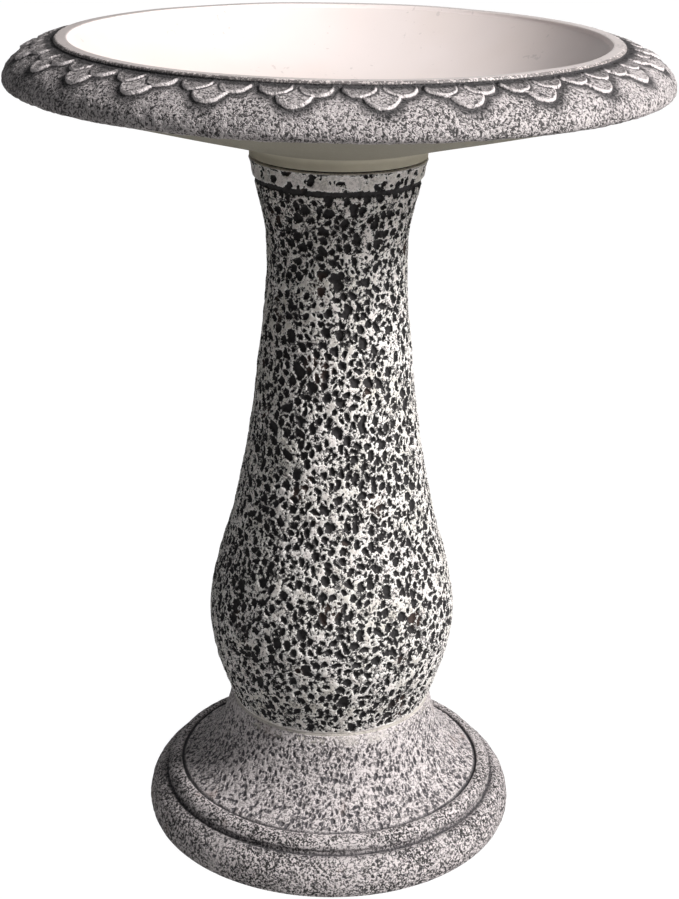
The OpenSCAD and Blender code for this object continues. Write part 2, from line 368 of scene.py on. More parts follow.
def scatter_pits(skin, rows, pits, warp_size, warp, wall, seed):
    """Signed distance in millimetres to the nearest pit's edge, negative inside, on rows of equal count.
    Each pit is (number, turn, distance along the outline, half width round, half width along, tilt).
    Pits with the same number join; a thin wall is left between any others."""
    first, counts = skin["first"], skin["counts"]
    count = counts[rows[0]]
    nearest = np.full((len(rows), count), 9.0)
    second, owner = nearest.copy(), np.full(nearest.shape, -1)
    picked = np.concatenate([np.arange(first[i], first[i] + count) for i in rows])
    points = skin["points"][picked]

    def shift(first_seed):
        wave = soft_noise(points, warp_size, first_seed)
        wave = wave + 0.45 * soft_noise(points, warp_size * 0.42, first_seed + 1)
        return (warp * wave).reshape(nearest.shape)

    shift_u, shift_v = shift(seed), shift(seed + 2)
    along, radius = skin["along"][rows], skin["rows"][rows, 0]
    for number, turn, at, a, b, tilt in pits:
        reach = max(a, b) + 2 * warp + 1.5 * MM
        low, high = np.searchsorted(along, [at - reach, at + reach])
        if high <= low:
            continue
        r = radius[(low + high - 1) // 2]
        middle = turn / (2 * math.pi) * count
        half = min(reach / r / (2 * math.pi) * count, count / 2 - 1)
        cols = np.arange(int(middle - half), int(middle + half) + 1)
        window = np.ix_(np.arange(low, high), cols % count)
        du = (cols - middle)[None, :] * (2 * math.pi / count) * r + shift_u[window]
        dv = (along[low:high] - at)[:, None] + shift_v[window]
        c, s = math.cos(tilt), math.sin(tilt)
        d = np.hypot((du * c + dv * s) / a, (dv * c - du * s) / b) - 1
        d *= math.sqrt(a * b) / MM
        near, own = nearest[window], owner[window]
        farther = np.where(d < near, near, np.minimum(second[window], d))
        second[window] = np.where(own == number, second[window], farther)
        owner[window] = np.where(d < near, number, own)
        nearest[window] = np.minimum(near, d)
    nearest = np.maximum(nearest, wall / MM - (second - nearest) / 2)
    values = np.full(len(skin["r"]), 9.0)
    values[picked] = nearest.ravel()
    return values


# Node trees


def cleared(owner):
    """The owner's node tree, switched on and emptied."""
    owner.use_nodes = True
    owner.node_tree.nodes.clear()
    return owner.node_tree


def put(tree, socket, value):
    if isinstance(value, bpy.types.NodeSocket):
        tree.links.new(value, socket)
    elif isinstance(value, (tuple, list)) and len(value) == 3 and socket.type == "RGBA":
        socket.default_value = (*value, 1.0)
    else:
        socket.default_value = value


def maths(tree, kind, a, b=0.0):
    node = tree.nodes.new("ShaderNodeMath")
    node.operation = kind
    put(tree, node.inputs[0], a)
    put(tree, node.inputs[1], b)
    return node.outputs[0]


def plus(tree, a, b):
    return maths(tree, "ADD", a, b)


def less(tree, a, b):
    return maths(tree, "SUBTRACT", a, b)


def times(tree, a, b):
    return maths(tree, "MULTIPLY", a, b)


def most(tree, a, b):
    return maths(tree, "MAXIMUM", a, b)


def toned(tone, share_of):
    """The same colour, darker below 1 and lighter above it."""
    return tuple(min(1.0, c * share_of) for c in tone)


def between(tree, value, low, high, to_low=0.0, to_high=1.0):
    """Goes smoothly from to_low to to_high as value goes from low to high."""
    node = tree.nodes.new("ShaderNodeMapRange")
    node.interpolation_type = "SMOOTHSTEP"
    keys = ("Value", "From Min", "From Max", "To Min", "To Max")
    for key, given in zip(keys, (value, low, high, to_low, to_high)):
        put(tree, node.inputs[key], given)
    return node.outputs[0]


def blend(tree, share_of, a, b):
    node = tree.nodes.new("ShaderNodeMix")
    node.data_type = "RGBA"
    put(tree, node.inputs[0], share_of)
    put(tree, node.inputs[6], a)
    put(tree, node.inputs[7], b)
    return node.outputs[2]


def noise(tree, place, size, detail=1.0, rough=0.5, distortion=0.0):
    node = tree.nodes.new("ShaderNodeTexNoise")
    put(tree, node.inputs["Vector"], place)
    given = isinstance(size, bpy.types.NodeSocket)
    put(tree, node.inputs["Scale"], maths(tree, "DIVIDE", 1.0, size) if given else 1.0 / size)
    for key, value in (("Detail", detail), ("Roughness", rough), ("Distortion", distortion)):
        put(tree, node.inputs[key], value)
    return node.outputs["Fac"]


def stored(tree, name):
    node = tree.nodes.new("ShaderNodeAttribute")
    node.attribute_name = name
    return node.outputs["Fac"]


def place_on(tree):
    """Place on the piece, in its own axes."""
    return tree.nodes.new("ShaderNodeTexCoord").outputs["Object"]


def place_and_radius(tree):
    """Place on the piece, distance from its axis and height."""
    place = place_on(tree)
    parts = tree.nodes.new("ShaderNodeSeparateXYZ")
    tree.links.new(place, parts.inputs[0])
    x, y, z = parts.outputs
    r = maths(tree, "SQRT", plus(tree, times(tree, x, x), times(tree, y, y)))
    return place, r, z


def new_group(name, inputs, outputs):
    """A node group whose inputs are numbers, or a place where no default is given."""
    group = bpy.data.node_groups.new(name, "ShaderNodeTree")
    for label, default in inputs.items():
        kind = "NodeSocketVector" if default is None else "NodeSocketFloat"
        socket = group.interface.new_socket(label, in_out="INPUT", socket_type=kind)
        if default is not None:
            socket.default_value = default
    for label in outputs:
        group.interface.new_socket(label, in_out="OUTPUT", socket_type="NodeSocketFloat")
    given = group.nodes.new("NodeGroupInput")
    result = group.nodes.new("NodeGroupOutput")
    return group, given.outputs, result.inputs


def use_group(tree, name, **values):
    if name not in bpy.data.node_groups:
        GROUPS[name]()
    node = tree.nodes.new("ShaderNodeGroup")
    node.node_tree = bpy.data.node_groups[name]
    for label, value in values.items():
        put(tree, node.inputs[label.replace("_", " ")], value)
    return node.outputs


def specks_of(tree, place, size, cover):
    return use_group(tree, "Specks", Place=place, Size=size, Cover=cover)[0]


def edge_rub_and_highlight_of(tree, place, distance, start, width, breaks):
    return use_group(tree, "Edge rub and highlight", Place=place, Distance=distance, Start=start, Width=width,
                     Breaks=breaks)[0]


def grain_of(tree, place, cover, softness):
    return use_group(tree, "Cast grain", Place=place, Size=0.0019, Cover=cover, Softness=softness)


def pits_of(tree, place, size, raggedness):
    edge = stored(tree, "pit_edge")
    return use_group(tree, "Ragged pits", Place=place, Distance=edge, Size=size, Raggedness=raggedness)


def make_cast_grain():
    """Worm-like lumps of a rough casting: high parts in Mask, their shape in Height."""
    inputs = dict(Place=None, Size=0.004, Cover=0.5, Softness=0.06)
    group, given, result = new_group("Cast grain", inputs, ["Mask", "Height"])
    lumps = noise(group, given["Place"], given["Size"], 2.0, 0.5, 0.9)
    coarse = noise(group, given["Place"], times(group, given["Size"], 1.7), 1.0, 0.5, 0.6)
    ridge = maths(group, "ABSOLUTE", less(group, coarse, 0.5))
    height = less(group, lumps, times(group, ridge, -0.35))
    edge = less(group, 0.92, times(group, given["Cover"], 0.78))
    low, high = less(group, edge, given["Softness"]), plus(group, edge, given["Softness"])
    put(group, result["Mask"], between(group, height, low, high))
    put(group, result["Height"], height)


def make_specks():
    """Small uneven specks, thicker in some patches than in others."""
    group, given, result = new_group("Specks", dict(Place=None, Size=0.002, Cover=0.2), ["Mask"])
    fine = noise(group, given["Place"], given["Size"], 2.0, 0.6, 0.4)
    patches = noise(group, given["Place"], times(group, given["Size"], 7.0), 1.0)
    level = plus(group, fine, times(group, less(group, patches, 0.5), 0.35))
    edge = less(group, 0.72, times(group, given["Cover"], 0.44))
    put(group, result["Mask"], between(group, level, less(group, edge, 0.03), plus(group, edge, 0.03)))


def make_ragged_pits():
    """Sharpens a stored distance to the nearest pit into a ragged edge."""
    inputs = dict(Place=None, Distance=0.0, Size=0.0022, Raggedness=1.0)
    group, given, result = new_group("Ragged pits", inputs, ["Mask", "Depth"])
    fine = noise(group, given["Place"], given["Size"], 2.0, 0.6, 0.3)
    torn = times(group, less(group, fine, 0.5), times(group, given["Raggedness"], 4.0))
    moved = plus(group, given["Distance"], torn)
    put(group, result["Mask"], between(group, moved, 0.22, -0.22))
    put(group, result["Depth"], between(group, moved, 0.5, -1.2))


def make_edge_rub_and_highlight():
    """A broken line between two distances: dry-brushed paint on the scallops' edges, and a painted highlight
    along the lip's edges.
    """
    inputs = dict(Place=None, Distance=0.0, Start=0.2, Width=1.6, Breaks=0.3)
    group, given, result = new_group("Edge rub and highlight", inputs, ["Mask"])
    wobble = times(group, less(group, noise(group, given["Place"], 0.005, 2.0), 0.5), 1.4)
    d = plus(group, given["Distance"], wobble)
    rise = between(group, d, less(group, given["Start"], 0.35), plus(group, given["Start"], 0.25))
    end = plus(group, given["Start"], given["Width"])
    fall = between(group, d, less(group, end, 0.3), plus(group, end, 0.9), 1.0, 0.0)
    worn = noise(group, given["Place"], 0.0035, 2.0, 0.6)
    whole = between(group, worn, less(group, given["Breaks"], 0.06), plus(group, given["Breaks"], 0.1))
    put(group, result["Mask"], times(group, times(group, rise, fall), whole))


GROUPS = {"Cast grain": make_cast_grain, "Specks": make_specks,
          "Ragged pits": make_ragged_pits, "Edge rub and highlight": make_edge_rub_and_highlight}


def new_material(name):
    material = bpy.data.materials.new(name)
    tree = cleared(material)
    shader = tree.nodes.new("ShaderNodeBsdfPrincipled")
    tree.links.new(shader.outputs[0], tree.nodes.new("ShaderNodeOutputMaterial").inputs["Surface"])
    return material, tree, shader


def surface(tree, shader, tone, roughness, height, depth, strength):
    """Colour, roughness and bumps of a finish; depth is how far the bumps reach, in metres."""
    put(tree, shader.inputs["Base Color"], tone)
    put(tree, shader.inputs["Roughness"], roughness)
    bump = tree.nodes.new("ShaderNodeBump")
    bump.inputs["Distance"].default_value = depth
    bump.inputs["Strength"].default_value = strength
    put(tree, bump.inputs["Height"], height)
    put(tree, shader.inputs["Normal"], bump.outputs[0])


def satin_cream(finish, sizes):
    """Smooth cream wash of the dish and the top of the lip, with painted highlight lines along the lip's
    inner and outer edges.
    """
    material, tree, shader = new_material("satin_cream")
    place, r, _ = place_and_radius(tree)
    cloud = noise(tree, place, 0.11, 2.0)
    warm = blend(tree, between(tree, cloud, 0.35, 0.7), tuple(finish.dish),
                 tuple(c * k for c, k in zip(finish.dish, (0.95, 0.935, 0.915))))
    inner = sizes.lip_r - sizes.lip_w
    off_edge = times(tree, less(tree, r, inner), 1 / MM)
    # Painted highlights: thin lighter lines along the lip's inner and outer rounded edges.
    inner_lip_highlight = edge_rub_and_highlight_of(tree, place, off_edge, -1.2, 1.6, 0.2)
    top = between(tree, r, inner + 0.4 * MM, inner + 2.0 * MM)
    worn = blend(tree, times(tree, top, 0.9), warm, toned(finish.dish, 0.66))
    outer = times(tree, less(tree, r, sizes.lip_r), 1 / MM)
    rub_and_highlight = edge_rub_and_highlight_of(tree, place, outer, -2.6, 1.5, 0.36)
    lit = blend(tree, times(tree, most(tree, inner_lip_highlight, rub_and_highlight), 0.9), worn, toned(finish.dish, 1.1))
    specks = specks_of(tree, place, 0.0026, 0.10)
    grime = times(tree, between(tree, r, sizes.lip_r - 3.6 * MM, sizes.lip_r - 1.0 * MM),
                  specks_of(tree, place, 0.0017, 0.62))
    on_lip = most(tree, times(tree, specks, times(tree, top, 0.45)), times(tree, grime, 0.75))
    marks = specks_of(tree, place, 0.0075, 0.013)
    marked = blend(tree, times(tree, marks, 0.22), lit, toned(finish.dish, 0.3))
    shown = blend(tree, on_lip, marked, tuple(finish.charcoal))
    waves = plus(tree, times(tree, noise(tree, place, 0.0016, 2.0), 0.06), noise(tree, place, 0.03, 1.0))
    surface(tree, shader, shown, between(tree, cloud, 0.3, 0.7, 0.46, 0.56), waves, 0.35 * MM, 0.5)
    return material


def grained_rim(finish, sizes):
    """Rubbed grey over charcoal on the rim, its scalloped border, and the plain underside, with painted
    shade beside the lip and around and under the scallops, and painted light and shade under the bowl.
    """
    material, tree, shader = new_material("grained_rim")
    place, r, z = place_and_radius(tree)
    small, large = stored(tree, "small_edge"), stored(tree, "large_edge")
    outline = most(tree, small, large)
    widest_z = BOWL_HIGH.z - sizes.rim_drop
    under = times(tree, between(tree, r, sizes.rim_r - 7 * MM, sizes.rim_r - 12 * MM),
                  between(tree, z, widest_z - 2 * MM, widest_z - 6 * MM))
    cloud = noise(tree, place, 0.05, 2.0)
    cover = between(tree, cloud, 0.3, 0.7, 0.49, 0.57)
    mask, height = grain_of(tree, place, cover, 0.1)
    light = tuple(finish.grey)
    grain = blend(tree, mask, toned(light, 0.09), light)
    # Painted shade: the small scallops' faces are darker, as if shadowed by the lip's step.
    shaded_small_face = blend(tree, mask, toned(light, 0.12), toned(light, 0.55))
    large_face = blend(tree, mask, toned(light, 0.20), toned(light, 0.95))
    in_small = between(tree, small, -0.2, 0.3)
    in_large = times(tree, between(tree, large, -0.2, 0.3), less(tree, 1.0, in_small))
    face = blend(tree, in_large, blend(tree, in_small, grain, shaded_small_face), large_face)
    # Painted shade: charcoal around the scallops' outlines, where the large scallops tuck under the small
    # ones, and in the band just outside the lip.
    recess = times(tree, between(tree, outline, -10.0, -1.8), between(tree, outline, 0.35, -0.1))
    tucked_shadow = times(tree, in_large, between(tree, small, -3.6, -0.8))
    behind = between(tree, r, sizes.lip_r + 10 * MM, sizes.lip_r + 5.5 * MM)
    deep = most(tree, times(tree, recess, 0.88), times(tree, tucked_shadow, 0.85))
    deep = most(tree, deep, times(tree, behind, 0.86))
    holes = specks_of(tree, place, 0.0068, 0.02)
    deep = most(tree, deep, times(tree, holes, 0.9))
    shaded = blend(tree, deep, face, toned(finish.charcoal, 1.25))
    edge_small = edge_rub_and_highlight_of(tree, place, small, 0.1, 0.6, 0.36)
    edge_large = edge_rub_and_highlight_of(tree, place, large, 0.1, 0.75, 0.35)
    clear = less(tree, 1.0, in_small)
    edges = most(tree, edge_small, times(tree, edge_large, clear))
    edges = times(tree, edges, between(tree, r, sizes.lip_r + 5 * MM, sizes.lip_r + 9 * MM))
    rub_and_highlight = blend(tree, edges, shaded, toned(finish.grey, 1.35))
    # Painted light and shade: the collar is lighter and the conical underside darker than the underside's
    # own khaki.
    shaded_cone = between(tree, r, sizes.collar_r + 3 * MM, sizes.collar_r + 9 * MM)
    bare = blend(tree, shaded_cone, toned(finish.bare, 1.25), toned(finish.bare, 0.66))
    bare = blend(tree, times(tree, noise(tree, place, 0.02, 3.0), 0.45), bare, toned(finish.bare, 0.6))
    grained = times(tree, height, less(tree, 1.0, times(tree, under, 0.85)))
    rough = between(tree, mask, 0.0, 1.0, 0.80, 0.68)
    surface(tree, shader, blend(tree, under, rub_and_highlight, bare), rough, grained, 2.2 * MM, 0.9)
    return material


def pitted_cream(finish):
    """Rubbed cream over charcoal, with the pits of a porous casting, and pit rims lightened partly by paint
    and partly by a painted highlight.
    """
    material, tree, shader = new_material("pitted_cream")
    place = place_on(tree)
    pits, depth = pits_of(tree, place, 0.0023, 1.0)
    # Pit rims lighter: partly dry-brushed paint, partly a painted highlight on the ridges.
    crest_rub_and_highlight = between(tree, stored(tree, "pit_edge"), 1.8, 0.2)
    specks = specks_of(tree, place, 0.0019, 0.36)
    tiny = specks_of(tree, place, 0.0012, 0.26)
    calm = stored(tree, "calm_share")
    specks = times(tree, specks, less(tree, 1.0, times(tree, calm, 0.9)))
    cloud = noise(tree, place, 0.035, 3.0)
    cream = blend(tree, between(tree, cloud, 0.35, 0.68), tuple(finish.cream),
                  tuple(c * k for c, k in zip(finish.cream, (0.80, 0.81, 0.76))))
    rubbed_and_highlit = blend(tree, times(tree, crest_rub_and_highlight, 0.6), cream, toned(finish.cream, 1.22))
    mottled = blend(tree, times(tree, tiny, 0.4), rubbed_and_highlit, toned(finish.cream, 0.35))
    speckled = blend(tree, times(tree, specks, 0.85), mottled, toned(finish.charcoal, 2.2))
    rust = between(tree, noise(tree, place, 0.028, 1.0), 0.66, 0.72)
    stain_and_shadow = blend(tree, times(tree, rust, 0.6), tuple(finish.charcoal), (0.060, 0.030, 0.020))
    dusty = blend(tree, times(tree, noise(tree, place, 0.0026, 2.0), 0.05), stain_and_shadow, tuple(finish.cream))
    shader.inputs["Specular IOR Level"].default_value = 0.3
    fine = times(tree, noise(tree, place, 0.0022, 3.0, 0.6), 0.5)
    height = less(tree, fine, plus(tree, depth, times(tree, specks, 0.35)))
    rough = between(tree, pits, 0.0, 1.0, 0.82, 0.76)
    surface(tree, shader, blend(tree, pits, speckled, dusty), rough, height, 1.8 * MM, 0.8)
    return material


def speckled_grey(finish, sizes):
    """Grey granite-like finish of the base, with pits in its flare, a smear of mortar by the bed, and a
    painted shadow around the wide groove.
    """
    material, tree, shader = new_material("speckled_grey")
    place, r, _ = place_and_radius(tree)
    pits, depth = pits_of(tree, place, 0.0024, 0.7)
    groove, smear = stored(tree, "groove_depth"), stored(tree, "smear_share")
    cloud = noise(tree, place, 0.04, 2.0)
    on_flare = between(tree, r, sizes.fine_r + 4 * MM, sizes.fine_r)
    cover = plus(tree, between(tree, cloud, 0.3, 0.7, 0.46, 0.52), times(tree, on_flare, 0.035))
    mask, height = grain_of(tree, place, cover, 0.075)
    dark = blend(tree, on_flare, toned(finish.grey, 0.05), toned(finish.grey, 0.36))
    grey = blend(tree, mask, dark, toned(finish.grey, 1.25))
    pale = blend(tree, between(tree, cloud, 0.45, 0.75, 0.0, 0.25), grey, toned(finish.grey, 0.9))
    pitted = blend(tree, times(tree, pits, 0.88), pale, toned(finish.charcoal, 4.0))
    rust = times(tree, between(tree, noise(tree, place, 0.034, 2.0), 0.62, 0.72), 0.4)
    pitted = blend(tree, rust, pitted, (0.26, 0.18, 0.15))
    # The grooves' own charcoal, with a painted shadow around the wide groove.
    groove_and_shadow_toned = blend(tree, groove, pitted, toned(finish.charcoal, 2.4))
    ragged = plus(tree, smear, times(tree, less(tree, noise(tree, place, 0.006, 3.0), 0.5), 1.3))
    smeared = times(tree, between(tree, ragged, 0.3, 1.0), 0.75)
    shown = blend(tree, smeared, groove_and_shadow_toned, tuple(finish.mortar))
    calm = less(tree, 1.0, times(tree, smeared, 0.8))
    height = times(tree, less(tree, times(tree, height, 0.9), depth), calm)
    surface(tree, shader, shown, between(tree, mask, 0.0, 1.0, 0.84, 0.74), height, 1.2 * MM, 0.75)
    return material


def gritty(name, tone, other, size, bump):
    """Plain gritty finish of the mortar bed and the foam gasket."""
    material, tree, shader = new_material(name)
    place = place_on(tree)
    specks = specks_of(tree, place, size, 0.3)
    cloud = noise(tree, place, size * 6, 3.0)
    base = blend(tree, between(tree, cloud, 0.35, 0.7), tuple(tone), toned(tone, 0.8))
    stain_and_shadow = most(tree, times(tree, specks, 0.5), stored(tree, "stain_share"))
    shown = blend(tree, stain_and_shadow, base, tuple(other))
    surface(tree, shader, shown, 0.9, noise(tree, place, size, 3.0, 0.6), bump, 0.8)
    return material


# Pieces


class BATH_OT_bowl(bpy.types.Operator):
    """Cast bowl: dish, lip, scalloped rim, collar and spigot"""
    bl_idname = "bath.bowl"
    bl_label = "Bowl"

    def execute(self, context):
        s, finish = context.scene.bath_bowl, context.scene.bath_finish
        seat, top = GASKET_HIGH.z, BOWL_HIGH.z
        fine, coarse = 60 * s.scallops, 20 * s.scallops
        dish_z = top - s.dish_depth
        mid_z = top - s.rim_drop
        low_r, low_z = s.rim_r - s.rim_roll, mid_z - s.rim_roll
        rim_w = s.rim_r - s.lip_r
        arc_a = 1.5 * rim_w
        arc_start = math.acos(1 / 3)
        arc_b = (s.rim_drop - s.lip_step) / math.sin(arc_start)
        hollow_r = s.spigot_r - s.spigot_t
        ceiling = dish_z - s.dish_t
        fillet = 5 * MM
        lip_in = s.lip_r - s.lip_w
        cone_from, cone_to = np.array((s.collar_r + fillet, seat + s.collar_h)), np.array((low_r, low_z))
        grain_from = cone_to + (cone_from - cone_to) * 0.09
        t = np.sin(np.linspace(math.pi / 2, 0, 400))
        dish = np.stack([lip_in * t, dish_z + (s.dish_depth - s.lip_round) * t ** s.dish_shape], 1)
        dish_rows = evenly(dish, 3.2 * MM)
        edge, nose, foot = s.lip_round, 1.2 * MM, BOWL_LOW.z
        collar_top = seat + s.collar_h - fillet
        under = (
            line((0, ceiling), (hollow_r, ceiling), 12 * MM),
            line((hollow_r, ceiling), (hollow_r, foot), 8 * MM),
            line((hollow_r, foot), (s.spigot_r - MM, foot), 5 * MM),
            line((s.spigot_r - MM, foot), (s.spigot_r, foot + MM), 2 * MM),
            line((s.spigot_r, foot + MM), (s.spigot_r, seat), 6 * MM),
            line((s.spigot_r, seat), (s.collar_r - nose, seat), 6 * MM),
            arc((s.collar_r - nose, seat + nose), nose, nose, -90, 0, 0.5 * MM),
            line((s.collar_r, seat + nose), (s.collar_r, collar_top), 1.5 * MM),
            arc((s.collar_r + fillet, collar_top), fillet, fillet, 180, 90, 1.2 * MM),
            line(cone_from, grain_from, 4 * MM))
        rim = (
            line(grain_from, cone_to, 1.3 * MM),
            arc((low_r, mid_z), s.rim_roll, s.rim_roll, -90, 0, 0.95 * MM),
            arc((s.rim_r - arc_a, mid_z), arc_a, arc_b, 0, math.degrees(arc_start), 0.9 * MM),
            line((s.lip_r, top - s.lip_step), (s.lip_r, top - edge), 0.5 * MM))
        lip = (
            arc((s.lip_r - edge, top - edge), edge, edge, 0, 90, 0.5 * MM),
            line((s.lip_r - edge, top), (lip_in + edge, top), 1.2 * MM),
            arc((lip_in + edge, top - edge), edge, edge, 90, 180, 0.6 * MM),
            dish_rows[:2])
        o = Outline()
        o.add_all(under, coarse, 1)
        o.add_all(rim, fine, 1)
        o.add_all(lip, fine, 0)
        o.add(dish_rows[1:], coarse, 0)

        def relief(skin):
            r, turn, z, points = skin["r"], skin["turn"], skin["z"], skin["points"]
            step = math.pi / s.scallops
            upper = (z > mid_z) & (r > s.lip_r - 1e-5)

            def inside(centre, radius, pitch, start):
                off = (turn - start) / pitch
                off = (off - np.round(off)) * pitch
                wobble = 0.35 * MM * soft_noise(points, 9 * MM, 11)
                gap = np.sqrt(np.maximum(r * r + centre * centre - 2 * r * centre * np.cos(off), 0))
                return np.where(upper, (radius - gap + wobble) / MM, -9.0)

            small = inside(s.lip_r + s.small_reach - s.small_r, s.small_r, step, step / 2)
            large = inside(s.lip_r + s.large_reach - s.large_r, s.large_r, 2 * step, 0.0)
            skin["values"]["small_edge"] = np.clip(small, -9, 9)
            skin["values"]["large_edge"] = np.clip(large, -9, 9)
            crown = smooth(small, -0.1, 0.9) * (1 - 0.6 * smooth(small, 1.0, 3.6))
            tongue = smooth(large, -0.1, 0.9) * (1 - 0.5 * smooth(large, 1.1, 3.4))
            over = smooth(small, -0.3, 0.3)
            tongue = tongue * (1 - over) * (1 - 0.55 * smooth(small, -2.8, -0.8))
            raised = np.maximum(crown, tongue) * s.relief
            outline_d = np.maximum(small, large)
            recess = np.exp(-((outline_d + 1.2) / 2.0) ** 2) * (outline_d < 0.4)
            by_lip = smooth(r, s.lip_r + 0.4 * MM, s.lip_r + 4 * MM)
            grained = upper | ((r > low_r - 8 * MM) & (z > low_z - 2 * MM) & (z <= mid_z))
            lumps = 0.42 * soft_noise(points, 3.4 * MM, 5) + 0.30 * soft_noise(points, 8 * MM, 6)
            calm = 1 - 0.6 * smooth(outline_d, -0.5, 0.8)
            move = upper * (raised - 0.8 * MM * recess) * by_lip
            move += grained * calm * np.where(z > mid_z, by_lip, 1.0) * lumps * MM
            move += 0.5 * MM * soft_noise(points, 60 * MM, 7) * smooth(r, s.spigot_r + 30 * MM, s.lip_r)
            return move

        obj = lathe("bowl_casting", o, relief, closed=False)
        settle(obj, "bowl", "bowl", [satin_cream(finish, s), grained_rim(finish, s)])
        return {"FINISHED"}


class BATH_OT_gasket(bpy.types.Operator):
    """Foam ring that the bowl's collar stands on; its dark colour also stands in for the shadow line in the
    joint under the collar
    """
    bl_idname = "bath.gasket"
    bl_label = "Seat gasket"

    def execute(self, context):
        finish = context.scene.bath_finish
        low, high = GASKET_LOW.z, GASKET_HIGH.z
        inner, outer = context.scene.bath_pedestal.socket_r, GASKET_HIGH.x - GASKET_TUCK
        bulge = 0.35 * MM
        middle = (low + high) / 2
        o = Outline()
        o.add_all((
            line((inner + bulge, low), (outer - bulge, low), 6 * MM),
            arc((outer - bulge, middle), bulge, (high - low) / 2, -90, 90, 0.3 * MM),
            line((outer - bulge, high), (inner + bulge, high), 6 * MM),
            arc((inner + bulge, middle), bulge, (high - low) / 2, 90, 270, 0.3 * MM)[:-1]), 180)

        def relief(skin):
            side = np.abs(skin["out"])
            return 0.18 * MM * side * soft_noise(skin["points"], 7 * MM, 31)

        obj = lathe("gasket_ring", o, relief, closed=True)
        rubber = gritty("foam_rubber", finish.rubber, toned(finish.rubber, 2.5), 0.0012, 0.3 * MM)
        settle(obj, "seat_gasket", "seat_gasket", [rubber])
        return {"FINISHED"}


